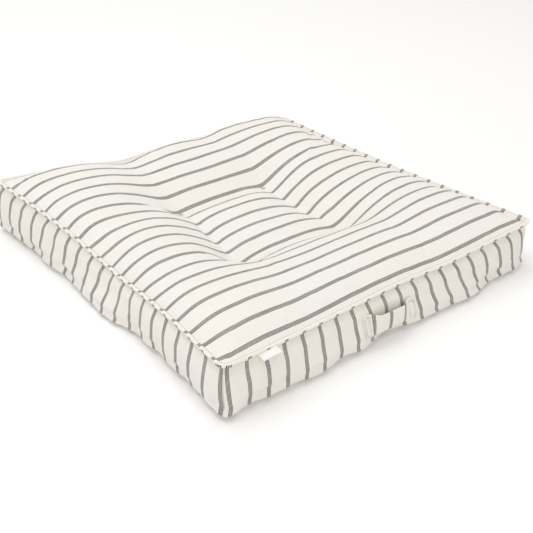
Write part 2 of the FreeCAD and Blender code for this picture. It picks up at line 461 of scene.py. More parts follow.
def rim_height(u, v):
    """The seam's height carried over the square: the blend of the four edges less the corners'."""
    pad = settings("cushion_pad")
    p, q = (1 - v) / 2, (1 - u) / 2
    c = pad.seam_corners
    corners = c[0] * q * p + c[1] * (1 - q) * p + c[2] * (1 - q) * (1 - p) + c[3] * q * (1 - p)
    return (seam_height(0, u) * p + seam_height(2, -u) * (1 - p) + seam_height(3, -v) * q
            + seam_height(1, v) * (1 - q) - corners)


def round_corner(s, half, radius):
    """Along and out from the middle of a side of a rounded square, for s from -1 to 1: straight,
    then an eighth of a circle."""
    straight = half - radius
    run = np.abs(s) * (straight + math.pi / 4 * radius)
    bend = np.maximum(run - straight, 0) / radius
    along = np.where(bend > 0, straight + radius * np.sin(bend), run) * np.sign(s)
    out = np.where(bend > 0, straight + radius * np.cos(bend), half)
    return along, out


def turned(side, along, out):
    """Plan place of a point that lies along a side and out from the middle."""
    x, y = ((along, -out), (out, along), (-along, out), (-out, -along))[side]
    return np.stack([x, y], -1)


# Tufts: front left, front right, back right, back left, and how far each tie draws its own spot in
TUFTS = ((-0.0997, -0.0752), (0.0968, -0.0853), (0.0967, 0.1108), (-0.0786, 0.1104))
TUFT_DEPTHS = (0.0170, 0.0131, 0.0040, 0.0040)

# Valleys drawn between the tufts and out to the edges: start, end, depth at start, middle and end,
# width of the wall on the left and on the right of the way along it, and how sharp its floor is
VALLEYS = (
    (TUFTS[0], TUFTS[3], (0.0326, 0.0325, 0.0179), (0.0556, 0.0466), 1.15),
    (TUFTS[1], TUFTS[2], (0.0129, 0.0425, 0.0389), (0.0563, 0.0663), 1.05),
    (TUFTS[0], TUFTS[1], (0.0254, 0.0341, 0.0259), (0.0520, 0.0620), 1.50),
    (TUFTS[3], TUFTS[2], (0.0380, 0.0355, 0.0335), (0.0699, 0.0454), 1.50),
    (TUFTS[3], (-0.0929, 0.300), (0.0205, 0.0083, 0.0190), (0.1096, 0.0442), 1.20),
    (TUFTS[2], (0.0859, 0.300), (0.0133, 0.0082, 0.0065), (0.0460, 0.0387), 1.60),
    (TUFTS[0], (-0.1612, -0.300), (0.0093, 0.0038, 0.0089), (0.0559, 0.0528), 1.80),
    (TUFTS[1], (0.1550, -0.300), (0.0327, 0.0000, 0.0103), (0.0728, 0.0717), 1.80),
    (TUFTS[1], (0.300, -0.1276), (0.0173, 0.0054, 0.0000), (0.0306, 0.0275), 1.50),
    (TUFTS[2], (0.300, 0.1448), (0.0102, 0.0056, 0.0234), (0.0693, 0.0613), 1.60),
    (TUFTS[0], (-0.300, -0.0828), (0.0156, 0.0054, 0.0000), (0.0367, 0.0144), 1.60),
    (TUFTS[3], (-0.300, 0.0422), (0.0127, 0.0079, 0.0093), (0.0594, 0.0460), 1.60),
)

# Where the filling is fuller or slacker than an even crown: place, and how much higher
SWELLS = (
    (-0.2, 0.00, 0.0095),
    (0.2, 0.00, -0.0083),
    (0.0, -0.20, 0.0049),
    (0.0, 0.20, -0.0134),
    (0.0, 0.01, -0.0249),
    (-0.2, -0.20, 0.0082),
    (0.2, -0.20, 0.0037),
    (0.2, 0.20, 0.0068),
    (-0.2, 0.20, -0.0002),
)
SWELL_REACH = 0.10

# Where a seam dips below its even line: side, place along it, half width, and depth
SEAM_DIPS = ((0, 0.3689, 0.1697, 0.0028), (2, 0.27, 0.20, 0.0100), (3, 0.0463, 0.3939, 0.0142))


def valley_depth(x, y, valley):
    """Depth of one valley: its depth along the line, falling off with the distance from it as
    exp(-(distance / width)^roundness)."""
    (ax, ay), (bx, by), (start, middle, end), (left, right), roundness = valley
    dx, dy = bx - ax, by - ay
    run = math.hypot(dx, dy)
    t = np.clip(((x - ax) * dx + (y - ay) * dy) / run ** 2, 0, 1)
    side = (y - ay) * dx - (x - ax) * dy
    distance = np.hypot(x - ax - t * dx, y - ay - t * dy)
    depth = (middle + (start - middle) * np.clip(1 - 2 * t, 0, 1) ** 2
             + (end - middle) * np.clip(2 * t - 1, 0, 1) ** 2)
    return depth * np.exp(-(distance / np.where(side > 0, left, right)) ** roundness)


def corner_inset(u, v):
    """How far the nearest corner is drawn in, fading to nothing along the sides: for a place on
    the unit square, its share of each corner to the fourth power."""
    shares = ((1 - u) * (1 - v), (1 + u) * (1 - v), (1 + u) * (1 + v), (1 - u) * (1 + v))
    return sum(inset * (share / 4) ** 4 for inset, share in zip(CORNER_INSET, shares))


def top_surface(u, v):
    """The top, for u and v from -1 to 1. In plan the flat square, eased onto the drawn-in rounded
    square near its edge. In height the seam's, plus a crown that rises from each edge as
    1 - exp(-distance / roll), less the valleys (joined as the cube root of the sum of cubes) and a
    dimple exp(-distance / reach) at each tuft."""
    pad = settings("cushion_pad")
    m = np.maximum(np.maximum(np.abs(u), np.abs(v)), 1e-9)
    lengthwise = np.abs(v) >= np.abs(u)
    s = np.where(lengthwise, u, v) / m
    pull = np.where(lengthwise, np.where(v < 0, pad.pull[0], pad.pull[2]),
                    np.where(u > 0, pad.pull[1], pad.pull[3]))
    reach = pad.half - pull * (1 - np.abs(s) ** 1.4) - corner_inset(u, v)
    along, out = round_corner(s, reach, pad.corner_radius)
    ring_x = np.where(lengthwise, along, np.sign(u) * out)
    ring_y = np.where(lengthwise, np.sign(v) * out, along)
    near = m ** 5
    x = u * pad.half * (1 - near) + ring_x * m * near
    y = v * pad.half * (1 - near) + ring_y * m * near

    def rise(w, low, high):
        return ((1 - np.exp(-pad.half * (1 + w) / low)) * (1 - np.exp(-pad.half * (1 - w) / high)))

    lift = rise(u, pad.roll[3], pad.roll[1]) * rise(v, pad.roll[0], pad.roll[2])
    fx, fy = u * pad.half, v * pad.half
    depth = sum(valley_depth(fx, fy, valley) ** 3 for valley in VALLEYS) ** (1 / 3)
    for cx, cy, rise_here in SWELLS:
        depth = depth - rise_here * np.exp(-(np.hypot(fx - cx, fy - cy) / SWELL_REACH) ** 2)
    z = rim_height(u, v) + pad.crown * lift - depth * np.clip(lift * 1.6, 0, 1)
    for (cx, cy), drawn in zip(TUFTS, TUFT_DEPTHS):
        z = z - drawn * np.exp(-np.hypot(fx - cx, fy - cy) / pad.tuft_reach)
    return np.stack([x, y, z], -1)


# Side walls from the top seam (0) down to the bottom seam (1): way out from the seam, and height as
# a share of the seam's. The cloth bellies, then rolls under to the bottom seam.
WALL_DOWN = np.array([0.0, 0.16, 0.40, 0.62, 0.80, 0.91, 1.0])
WALL_OUT = np.array([0.0, 0.0075, 0.0120, 0.0128, 0.0125, 0.0145, -0.0010])
WALL_HEIGHT = np.array([1.0, 0.86, 0.60, 0.36, 0.20, 0.075, 0.045])
BELLY = (1.0, 0.40, 0.8, 0.95)                  # share of the profile: front, right, back, left
CORNER_FOOT = (1.0, 0.35, 0.6, 0.8)             # the same at the four corners, from the front left round
CORNER_INSET = (0.0, 0.0040, 0.0040, 0.0)       # how far each corner is drawn in, in the same order
FLARE = (0.0035, -0.0010, -0.0010, -0.0075)     # extra way out of the lower roll: front, right, back, left

# Places where the lower roll is drawn in: side, place along it, half width, and how far in
PINCHES = (
    (0, -0.05, 0.12, 0.0110), (0, -0.88, 0.07, 0.0060), (0, 0.74, 0.16, 0.0060), (0, 0.40, 0.14, -0.0020),
    (1, -0.45, 0.10, 0.0050), (1, 0.30, 0.14, 0.0060), (2, 0.10, 0.12, 0.0060), (2, -0.62, 0.10, 0.0050),
    (3, 0.44, 0.17, 0.0070), (3, -0.34, 0.08, 0.0025), (3, 0.07, 0.11, -0.0040), (3, -0.80, 0.10, -0.0030),
)


def curve_through(t, at, value):
    """Smooth curve through the points (at, value): cubics whose slopes are the neighbours'."""
    slope = np.gradient(value, at)
    i = np.clip(np.searchsorted(at, t, side="right") - 1, 0, len(at) - 2)
    h = at[i + 1] - at[i]
    q = (t - at[i]) / h
    return ((1 + 2 * q) * (1 - q) ** 2 * value[i] + q * (1 - q) ** 2 * h * slope[i]
            + q * q * (3 - 2 * q) * value[i + 1] + q * q * (q - 1) * h * slope[i + 1])


def waves(s, seed, first=4, last=11):
    """A smooth uneven line along a side: sine waves of several lengths with seeded strengths and
    shifts, scaled to a spread of about 1."""
    chance = np.random.default_rng(seed)
    total = np.zeros_like(s)
    for turn in range(first, last):
        total = total + chance.normal() * np.sin(turn * math.pi * s + chance.uniform(0, 2 * math.pi))
    return total / math.sqrt((last - first) / 2)


def wall_surface(side, s, t):
    """A side wall, for s from -1 to 1 along it and t from 0 to 1 down it: the rounded square at
    each height, moved out by the wall's profile. The seam's pull-in fades to nothing downwards. A
    crease a fifth of the way up, and the roll under it, wander and come and go with slow waves."""
    pad = settings("cushion_pad")
    free = 1 - np.abs(s) ** 8
    low = np.clip((t - 0.35) / 0.45, 0, 1)
    low = smooth(low)
    foot = np.where(s < 0, CORNER_FOOT[side], CORNER_FOOT[(side + 1) % 4])
    out = curve_through(t, WALL_DOWN, WALL_OUT) * (BELLY[side] * free + foot * (1 - free))
    out = out + FLARE[side] * low * free
    for where, place, width, depth in PINCHES:
        if where == side:
            out = out - depth * np.exp(-((s - place) / width) ** 2) * low * free
    out = out + 0.0013 * waves(s, 41 + side, 4, 10) * low * free
    crease = 0.79 + 0.020 * waves(s, 51 + side, 3, 7)
    strength = 0.0026 + 0.0012 * waves(s, 61 + side, 3, 9)
    out = out - strength * np.exp(-((t - crease) / 0.055) ** 2) * free
    out = out + 0.0007 * waves(s, 71 + side, 8, 18) * np.sin(math.pi * t) * free
    u, v = ((s, -1), (1, s), (-s, 1), (-1, -s))[side]
    half = pad.half - pad.pull[side] * (1 - np.abs(s) ** 1.4) * (1 - low) - corner_inset(u, v) + out
    along, away = round_corner(s, half, pad.corner_radius + 0.007 * np.sin(math.pi * t))
    z = seam_height(side, s) * curve_through(t, WALL_DOWN, WALL_HEIGHT)
    return np.concatenate([turned(side, along, away), z[..., None]], -1)


def bottom_surface(u, v):
    """The underside: flat on the floor, up to the bottom seam near its edge and drawn up at each
    tuft by a shallow exp(-(distance / reach)^2)."""
    pad = settings("cushion_pad")
    m = np.maximum(np.maximum(np.abs(u), np.abs(v)), 1e-9)
    lengthwise = np.abs(v) >= np.abs(u)
    s = np.where(lengthwise, u, v) / m
    edge = np.zeros((*u.shape, 3))
    for side, mask in enumerate((lengthwise & (v < 0), ~lengthwise & (u > 0),
                                 lengthwise & (v >= 0), ~lengthwise & (u <= 0))):
        way = s * (1, 1, -1, -1)[side]
        edge = np.where(mask[..., None], wall_surface(side, way, np.ones_like(way)), edge)
    near = m ** 8
    x = u * pad.half * (1 - near) + edge[..., 0] * m * near
    y = v * pad.half * (1 - near) + edge[..., 1] * m * near
    z = 0.0006 + (edge[..., 2] - 0.0006) * m ** 40
    for cx, cy in TUFTS:
        reach = np.hypot(u * pad.half - cx, v * pad.half - cy) / 0.024
        z = z + 0.013 * np.exp(-reach ** 2)
    return np.stack([x, y, z], -1)


def cover_patches():
    """The closed cover as grids that share their edge points: their point numbers, and the points."""
    n = settings("cushion_pad").cell
    rows = 12
    w = np.linspace(-1, 1, n + 1)
    u, v = np.meshgrid(w, w, indexing="ij")
    top_index = np.arange((n + 1) ** 2).reshape(n + 1, n + 1)
    bottom_index = top_index + (n + 1) ** 2
    points = [top_surface(u, v).reshape(-1, 3), bottom_surface(u, v).reshape(-1, 3)]

    def rim(index):
        return np.concatenate([index[:-1, 0], index[-1, :-1], index[:0:-1, -1], index[0, :0:-1]])

    middle = np.arange(4 * n * (rows - 1)).reshape(rows - 1, 4 * n) + 2 * (n + 1) ** 2
    wall_index = np.concatenate([rim(top_index)[None], middle, rim(bottom_index)[None]])
    t = np.linspace(0, 1, rows + 1)[1:-1]
    s, t = np.meshgrid(w[:-1], t)
    walls = np.concatenate([wall_surface(side, s, t) for side in range(4)], 1)
    points.append(walls.reshape(-1, 3))
    return top_index, bottom_index, wall_index, np.concatenate(points)


def held_share(top_index, bottom_index, wall_index, points):
    """How firmly each point is held while the filling swells: seams, tufts and the underside fully,
    the floors of the two sharp valleys partly."""
    n = settings("cushion_pad").cell
    w = np.linspace(-1, 1, n + 1)
    u, v = np.meshgrid(w, w, indexing="ij")
    x, y = u * settings("cushion_pad").half, v * settings("cushion_pad").half
    hold = np.zeros(len(points))
    sharp = np.zeros_like(x)
    for valley in (VALLEYS[0], VALLEYS[1], VALLEYS[4]):
        flat = (valley[0], valley[1], (1, 1, 1), (0.008, 0.008), 2.0)
        sharp = np.maximum(sharp, valley_depth(x, y, flat))
    tuft = np.zeros_like(x)
    for cx, cy in TUFTS:
        tuft = np.maximum(tuft, np.exp(-(np.hypot(x - cx, y - cy) / 0.012) ** 4))
    hold[top_index] = np.maximum(sharp * 0.35, tuft)
    hold[bottom_index] = 1.0
    hold[wall_index[0]] = 1.0
    hold[wall_index[-1]] = 1.0
    return hold


SOLVER_FRAMES = 20
CLOTH_SETTINGS = {"quality": 5, "mass": 0.25, "tension_stiffness": 25.0, "compression_stiffness": 12.0,
                  "shear_stiffness": 6.0, "bending_stiffness": 0.6, "use_pressure": True,
                  "vertex_group_mass": "held", "pin_stiffness": 1.0}


def inflate(faces, points, hold):
    """Presses the filling against the cover with Blender's cloth, from a start drawn in by half the
    most swelling, and returns the points after it, none moved by more than that most."""
    pad = settings("cushion_pad")
    mesh = make_mesh("cover_trial", points, faces)
    normal = np.empty(len(points) * 3)
    mesh.vertices.foreach_get("normal", normal)
    points = points - normal.reshape(-1, 3) * (pad.swell / 2 * (1 - hold[:, None]))
    mesh.vertices.foreach_set("co", points.ravel())
    mesh.update()
    trial = bpy.data.objects.new("cover_trial", mesh)
    bpy.context.scene.collection.objects.link(trial)
    group = trial.vertex_groups.new(name="held")
    for level in np.unique(np.round(hold, 1)):
        chosen = np.flatnonzero(np.round(hold, 1) == level)
        group.add(chosen.tolist(), float(level), "REPLACE")
    cloth = trial.modifiers.new("cloth", "CLOTH")
    how = cloth.settings
    for key, setting in CLOTH_SETTINGS.items():
        setattr(how, key, setting)
    how.uniform_pressure_force = pad.pressure
    how.effector_weights.gravity = 0.0
    cloth.collision_settings.use_collision = False
    scene = bpy.context.scene
    cloth.point_cache.frame_start = 1
    cloth.point_cache.frame_end = SOLVER_FRAMES
    for step in range(1, SOLVER_FRAMES + 1):
        scene.frame_set(step)
    shown = trial.evaluated_get(bpy.context.evaluated_depsgraph_get())
    swollen = np.empty(len(points) * 3)
    shown.data.vertices.foreach_get("co", swollen)
    swollen = swollen.reshape(-1, 3)
    scene.frame_set(1)
    bpy.data.objects.remove(trial)
    bpy.data.meshes.remove(mesh)
    move = swollen - points
    far = np.linalg.norm(move, axis=1, keepdims=True)
    return points + move * np.minimum(1, pad.swell / np.maximum(far, 1e-9))


def stuffed_cover():
    """Inflates the cover once and keeps its grids for the operators that sew it."""
    if "cover" in built:
        return built["cover"]
    top_index, bottom_index, wall_index, points = cover_patches()
    ring = np.concatenate([wall_index, wall_index[:, :1]], 1)
    faces = np.concatenate([grid_faces(top_index), grid_faces(bottom_index, True), grid_faces(ring)])
    hold = held_share(top_index, bottom_index, wall_index, points)
    points = inflate(faces, points, hold)
    built["cover"] = {"points": points, "faces": faces, "top": top_index, "bottom": bottom_index,
                      "ring": ring}
    return built["cover"]


def wrinkles(shape, seed, stretch):
    """Even noise on a grid, smoothed more along one direction: random values blurred by a Gaussian
    of the given number of points each way, scaled to a spread of 1."""
    noise = np.random.default_rng(seed).standard_normal(shape)
    for axis, reach in enumerate(stretch):
        span = np.arange(-3 * reach, 3 * reach + 1)
        weight = np.exp(-(span / reach) ** 2)
        noise = np.apply_along_axis(lambda row: np.convolve(row, weight, "same"), axis, noise)
    return noise / noise.std()


def pucker(points, away, along, seed, depth, reach):
    """Small gathers beside a seam: ripples along it that fade as exp(-distance / reach)."""
    noise = wrinkles(points.shape[:2], seed, along)
    normal = grid_normals(points)
    rise = noise * depth * np.exp(-away / reach) * np.clip(away / 0.004, 0, 1)
    return points + normal * rise[..., None]


def top_grid():
    """The finished top: the inflated grid made twice as fine, with gathers along its seams."""
    cover = stuffed_cover()
    pad = settings("cushion_pad")
    points = finer(cover["points"][cover["top"]])
    w = np.linspace(-pad.half, pad.half, len(points))
    x, y = np.meshgrid(w, w, indexing="ij")
    points = pucker(points, pad.half - np.abs(y), (3, 7), 11, 0.0009, 0.024)
    points = pucker(points, pad.half - np.abs(x), (7, 3), 12, 0.0009, 0.024)
    soft = wrinkles(x.shape, 13, (14, 14)) * 0.0008 + wrinkles(x.shape, 14, (5, 5)) * 0.00018
    edge = np.clip((pad.half - np.maximum(np.abs(x), np.abs(y))) / 0.03, 0, 1)
    points[..., 2] += soft * edge
    return points, x, y


def wall_grid(side):
    """One finished side wall, [along, down], made twice as fine, with gathers below its top seam."""
    cover = stuffed_cover()
    pad = settings("cushion_pad")
    n = pad.cell
    points = cover["points"][cover["ring"][:, side * n:side * n + n + 1]]
    points = finer(np.swapaxes(points, 0, 1))
    s = np.linspace(-1, 1, points.shape[0])
    t = np.linspace(0, 1, points.shape[1])
    s, t = np.meshgrid(s, t, indexing="ij")
    tall = 0.085
    points = pucker(points, np.minimum(t, 1 - t) * tall, (3, 4), 21 + side, 0.0009, 0.018)
    return points, s, t


def corner_places(flat, flip=False):
    """The flat place at each corner of each face of a grid, in the order that grid_faces uses."""
    a, b, c, d = flat[:-1, :-1], flat[1:, :-1], flat[1:, 1:], flat[:-1, 1:]
    return np.stack((a, d, c, b) if flip else (a, b, c, d), 2).reshape(-1, 2)


def grid_mesh(name, points, flat, flip=False):
    """A mesh from a grid of points and the cloth's flat place at each of them."""
    index = np.arange(points[..., 0].size).reshape(points.shape[:2])
    return make_mesh(name, points.reshape(-1, 3), grid_faces(index, flip), corner_places(flat, flip))


STRIPE_SHIFT_TOP = 0.2857       # the top's front stripe lies this far in front of the middle
STRIPE_SHIFT_SIDE = (0.2950, 0.2860, 0.2900, 0.2960)   # a side's first stripe lies this far from its middle
SIDE_PITCH = (0.0302, 0.0302, 0.0302, 0.0307)   # stripe pitch once each side strip is gathered
SIDE_LEAN = (0.0070, 0.0, 0.0, 0.0)             # how far the stripes lean from top to bottom
WALL_CLOTH = 0.095              # width of a side strip, seam to seam


FILLING_INSET = 0.0035          # how far the filling lies inside the cover
FILLING_FLOOR = 0.0022          # its lowest height


class CUSHION_OT_filling(bpy.types.Operator):
    """Stuff the pad: the inflated cover's shape, moved in along its normals"""
    bl_idname = "cushion.filling"
    bl_label = "Filling"

    def execute(self, context):
        cover = stuffed_cover()
        mesh = make_mesh("filling", cover["points"], cover["faces"])
        normal = np.empty(len(mesh.vertices) * 3)
        mesh.vertices.foreach_get("normal", normal)
        inner = cover["points"] - normal.reshape(-1, 3) * FILLING_INSET
        inner[:, 2] = np.maximum(inner[:, 2], FILLING_FLOOR)
        mesh.vertices.foreach_set("co", inner.ravel())
        mesh.update()
        show("filling", mesh, "wadding", ["filling"])
        return {"FINISHED"}


class CUSHION_OT_panels(bpy.types.Operator):
    """Sew the top and bottom panels over the stuffed shape"""
    bl_idname = "cushion.panels"
    bl_label = "Top and bottom panels"

    def execute(self, context):
        pad = settings("cushion_pad")
        cover = stuffed_cover()
        under = cover["points"][cover["bottom"]]
        for name, points, flip in (("top_panel", top_grid()[0], False), ("bottom_panel", under, True)):
            w = np.linspace(-pad.half, pad.half, len(points))
            x, y = np.meshgrid(w, w, indexing="ij")
            mesh = grid_mesh(name, points, np.stack([x, y + STRIPE_SHIFT_TOP], -1), flip)
            thicken(show(name, mesh, "striped_cotton", [name]), pad.cloth)
        return {"FINISHED"}


class CUSHION_OT_boxing(bpy.types.Operator):
    """Sew the four side strips, with their stripes upright"""
    bl_idname = "cushion.boxing"
    bl_label = "Boxing"

    def execute(self, context):
        pad = settings("cushion_pad")
        for side, name in enumerate(SIDES):
            points, s, t = wall_grid(side)
            flat = np.stack([-t * WALL_CLOTH, stripe_place(side, s, t)], -1)
            mesh = grid_mesh("boxing_" + name, points, flat, True)
            piece = show("boxing_" + name, mesh, "striped_cotton", ["boxing_" + name])
            thicken(piece, pad.cloth)
        return {"FINISHED"}


def stripe_place(side, s, t):
    """Where a place s along and t down a side wall lies across its stripes, on the flat cloth."""
    way = -s if side == 3 else s
    across = way * settings("cushion_pad").half + STRIPE_SHIFT_SIDE[side]
    return (across - SIDE_LEAN[side] * t) * settings("cushion_cloth").pitch / SIDE_PITCH[side]


# Edge ridges and stitches

def seam_path(row):
    """The seam round the cushion, its way out and its way up. row is 0 for the top seam and -1 for
    the bottom one. Returns points, outward directions and, for each point, its side and s."""
    pad = settings("cushion_pad")
    n = pad.cell
    cover = stuffed_cover()
    ring = cover["points"][cover["ring"][row]]
    fine = finer(ring[:, None].repeat(2, 1))[:, 0]
    fine = fine[:-1]
    ahead = np.roll(fine, -1, 0) - np.roll(fine, 1, 0)
    ahead = unit(ahead)
    out = unit(np.cross(ahead, UP))
    place = np.arange(8 * n)
    return fine, ahead, out, place // (2 * n), (place % (2 * n)) / n - 1.0


RIDGE_LONG = 0.0047             # half the ridge's size the way it points
RIDGE_THICK = 0.0029            # half its thickness
FLOOR_GAP = 0.0003              # cloth that rests on the floor is flat at this height
RIDGE_LUMPS = 0.13              # spread of its size along the seam

# Each ridge: its edge, its row of the cover's walls, how far above level it points, how far out it sits
RIDGES = (("top", 0, math.radians(38), 0.0016), ("bottom", -1, 0.0, 0.0006))
STITCH_SINK = 0.0004            # stitches lie this much further out than the middle of the ridge


def ridge_lumps(count, row):
    """How much thicker or thinner than even the ridge is at each point along it."""
    return 1 + RIDGE_LUMPS * wrinkles((count, 1), 31 + row, (5, 1))[:, 0]


def ridge_ways(out, tilt):
    """The directions that a ridge points in and is thick in."""
    return (out * math.cos(tilt) + UP * math.sin(tilt), -out * math.sin(tilt) + UP * math.cos(tilt))


def ridge(name, row, tilt, sit):
    """The edge ridge: an oval profile (long axis pointing out and tilted) carried along the seam,
    its thickness varied a little by smooth noise. The upper half takes the panel's stripes and the
    lower half the side strip's."""
    pad = settings("cushion_pad")
    path, _, out, side, s = seam_path(row)
    count = 14
    angle = np.linspace(0, 2 * math.pi, count, endpoint=False)
    point_way, thick_way = ridge_ways(out, tilt)
    lumps = ridge_lumps(len(path), row)
    a = np.cos(angle)[None, :, None] * RIDGE_LONG
    b = np.sin(angle)[None, :, None] * RIDGE_THICK
    centre = path + point_way * sit
    points = (centre[:, None] + (point_way[:, None] * a + thick_way[:, None] * b)
              * lumps[:, None, None])
    points[..., 2] = np.maximum(points[..., 2], FLOOR_GAP)
    total = len(path)
    i = np.arange(total)
    j = np.arange(count)
    a0 = i[:, None] * count + j
    a1 = ((i + 1) % total)[:, None] * count + j
    b0 = i[:, None] * count + (j + 1) % count
    b1 = ((i + 1) % total)[:, None] * count + (j + 1) % count
    faces = np.stack([a0, b0, b1, a1], -1).reshape(-1, 4)
    flat_x = np.stack([s, np.ones_like(s), -s, -np.ones_like(s)], 0)[side, i] * pad.half
    flat_y = np.stack([-np.ones_like(s), s, np.ones_like(s), -s], 0)[side, i] * pad.half
    upper = (np.sin((j + 0.5) * 2 * math.pi / count) > 0) == (row == 0)
    gather = settings("cushion_cloth").pitch / np.array(SIDE_PITCH)[side]
    way = np.where(side == 3, -1, 1)
    wall_across = (way * s * pad.half + np.array(STRIPE_SHIFT_SIDE)[side]) * gather
    step = way * gather * 2 * pad.half / (len(path) / 4)

    def places(ahead_by):
        panel = np.stack([flat_x, flat_y + STRIPE_SHIFT_TOP], -1)
        nxt = np.roll(panel, -1, 0)
        panel = nxt if ahead_by else panel
        across = wall_across + ahead_by * step
        wall = np.stack([np.zeros_like(across), across], -1)
        return np.where(upper[None, :, None], panel[:, None], wall[:, None])

    here, there = places(0), places(1)
    flat = np.stack([here, here, there, there], 2).reshape(-1, 2)
    mesh = make_mesh(name, points.reshape(-1, 3), faces, flat)
    show(name, mesh, "striped_cotton", [name])


class CUSHION_OT_welts(bpy.types.Operator):
    """Form the raised, topstitched ridges along both edge seams"""
    bl_idname = "cushion.welts"
    bl_label = "Edge ridges"

    def execute(self, context):
        for edge, row, tilt, sit in RIDGES:
            ridge(edge + "_welt", row, tilt, sit)
        return {"FINISHED"}


STITCH_LEAN = (0.31, 0.17, 0.93)    # stitches and rods take their turn about the path from these,
ROD_LEAN = (0.12, 0.23, 0.97)       # which no path in the cushion runs along


def circles(ahead, lean, sides):
    """Unit circles across a path, one for each of its points."""
    side = unit(np.cross(ahead, lean))
    other = np.cross(ahead, side)
    angle = np.linspace(0, 2 * math.pi, sides, endpoint=False)[:, None]
    return side[:, None] * np.cos(angle) + other[:, None] * np.sin(angle)


def stitches(path, ahead, thickness, gap, pitch):
    """Stitches along a path: at every pitch a short six-sided rod with tapered ends that dips into
    the cloth at both ends. Returns points and faces."""
    run = run_along(path)
    count = int(run[-1] / pitch)
    middle = (np.arange(count) + 0.5) * run[-1] / count
    place = np.stack([np.interp(middle, run, path[:, k]) for k in range(3)], -1)
    way = np.stack([np.interp(middle, run, ahead[:, k]) for k in range(3)], -1)
    way = unit(way)
    along = np.array([-0.5, -0.42, 0.0, 0.42, 0.5]) * (pitch - gap)
    size = np.array([0.25, 0.85, 1.0, 0.85, 0.25]) * thickness
    points = (place[:, None, None] + way[:, None, None] * along[None, :, None, None]
              + circles(way, STITCH_LEAN, 6)[:, None] * size[None, :, None, None])
    base = np.arange(count)[:, None, None] * 30
    ring = np.arange(4)[None, :, None] * 6
    j = np.arange(6)[None, None, :]
    nxt = (j + 1) % 6
    faces = np.stack([base + ring + j, base + ring + nxt, base + ring + nxt + 6, base + ring + j + 6], -1)
    caps_low = np.stack([base[:, 0] + k for k in ((0, 3, 2, 1), (0, 5, 4, 3))], 1).reshape(-1, 4)
    caps_high = np.stack([base[:, 0] + 24 + k for k in ((0, 1, 2, 3), (0, 3, 4, 5))], 1).reshape(-1, 4)
    return points.reshape(-1, 3), np.concatenate([faces.reshape(-1, 4), caps_low, caps_high])


def joined(parts):
    """Several sets of points and faces as one."""
    points, faces, count = [], [], 0
    for p, f in parts:
        points.append(p)
        faces.append(f + count)
        count += len(p)
    return np.concatenate(points), np.concatenate(faces)


class CUSHION_OT_stitching(bpy.types.Operator):
    """Run the rows of stitches that hold the ridges, and the corner seams"""
    bl_idname = "cushion.stitching"
    bl_label = "Stitching"

    def execute(self, context):
        for edge, row, tilt, sit in RIDGES:
            path, ahead, out = seam_path(row)[:3]
            point_way, thick_way = ridge_ways(out, tilt)
            high = RIDGE_THICK * ridge_lumps(len(path), row)[:, None] + 0.0001
            rows = []
            for face in (-1, 1):
                line = path + point_way * (sit + STITCH_SINK) + thick_way * face * high
                line[:, 2] = np.maximum(line[:, 2], 2 * FLOOR_GAP)
                closed = np.concatenate([line, line[:1]])
                ways = np.concatenate([ahead, ahead[:1]])
                rows.append(stitches(closed, ways, 0.00042, 0.0012, 0.0042))
            name = edge + "_stitching"
            show(name, make_mesh(name, *joined(rows)), "sewing_thread", [name])
        for side, name in enumerate(CORNERS):
            line = wall_grid(side)[0][0, 2:-2]
            away = unit(line * (1, 1, 0))
            part = stitches(line + away * 0.0002, np.gradient(line, axis=0), 0.00035, 0.0012, 0.0036)
            node = "corner_thread_" + name
            show(node, make_mesh(node, *part), "sewing_thread", [node])
        return {"FINISHED"}


def tube(path, radius, sides=8):
    """A round rod along a path: circles across it, joined, with narrowed and closed ends."""
    ahead = unit(np.gradient(path, axis=0))
    size = np.full(len(path), radius)
    size[[0, -1]] = radius * 0.3
    points = path[:, None] + circles(ahead, ROD_LEAN, sides) * size[:, None, None]
    j = np.arange(sides)
    i = np.arange(len(path) - 1)[:, None] * sides
    nxt = (j + 1) % sides
    faces = np.stack([i + j, i + nxt, i + nxt + sides, i + j + sides], -1).reshape(-1, 4)
    last = (len(path) - 1) * sides
    k = np.arange(1, sides - 2, 2)
    caps = np.stack([[0 * k, k + 2, k + 1, k], [0 * k + last, k + last, k + 1 + last, k + 2 + last]])
    return points.reshape(-1, 3), np.concatenate([faces, caps.transpose(2, 0, 1).reshape(-1, 4)])


TWINE_RADIUS = 0.0008
TWINE_REACH = 0.0042            # half length of a stitch on the top
UNDER_REACH = 0.0030            # and of the one underneath
UNDER_HEIGHT = 0.0125           # height of the one underneath, inside its own dimple


class CUSHION_OT_tufts(bpy.types.Operator):
    """Tie the four tufts: twine through the pad, with a short stitch on each face"""
    bl_idname = "cushion.tufts"
    bl_label = "Tuft ties"

    def execute(self, context):
        points, x, y = top_grid()
        for (cx, cy), name in zip(TUFTS, CORNERS):
            near = np.hypot(x - cx, y - cy)
            spot = points.reshape(-1, 3)[near.argmin()]
            w = np.linspace(-1, 1, 15)
            parts = []
            for turn, lift in ((0.35, 0.0008), (-0.5, 0.0016)):
                line = np.stack([spot[0] + w * TWINE_REACH * math.cos(turn),
                                 spot[1] + w * TWINE_REACH * math.sin(turn),
                                 spot[2] + lift + 0.0010 * (1 - w ** 2)], -1)
                parts.append(tube(line, TWINE_RADIUS))
            shank = np.stack([np.full(9, spot[0]), np.full(9, spot[1]),
                              np.linspace(UNDER_HEIGHT + 0.0010, spot[2], 9)], -1)
            parts.append(tube(shank, TWINE_RADIUS))
            under = np.stack([spot[0] + w * UNDER_REACH, np.full(15, spot[1]),
                              UNDER_HEIGHT - 0.0008 * (1 - w ** 2)], -1)
            parts.append(tube(under, TWINE_RADIUS))
            node = "tuft_tie_" + name
            show(node, make_mesh(node, *joined(parts)), "tufting_twine", [node])
        return {"FINISHED"}


# Handle

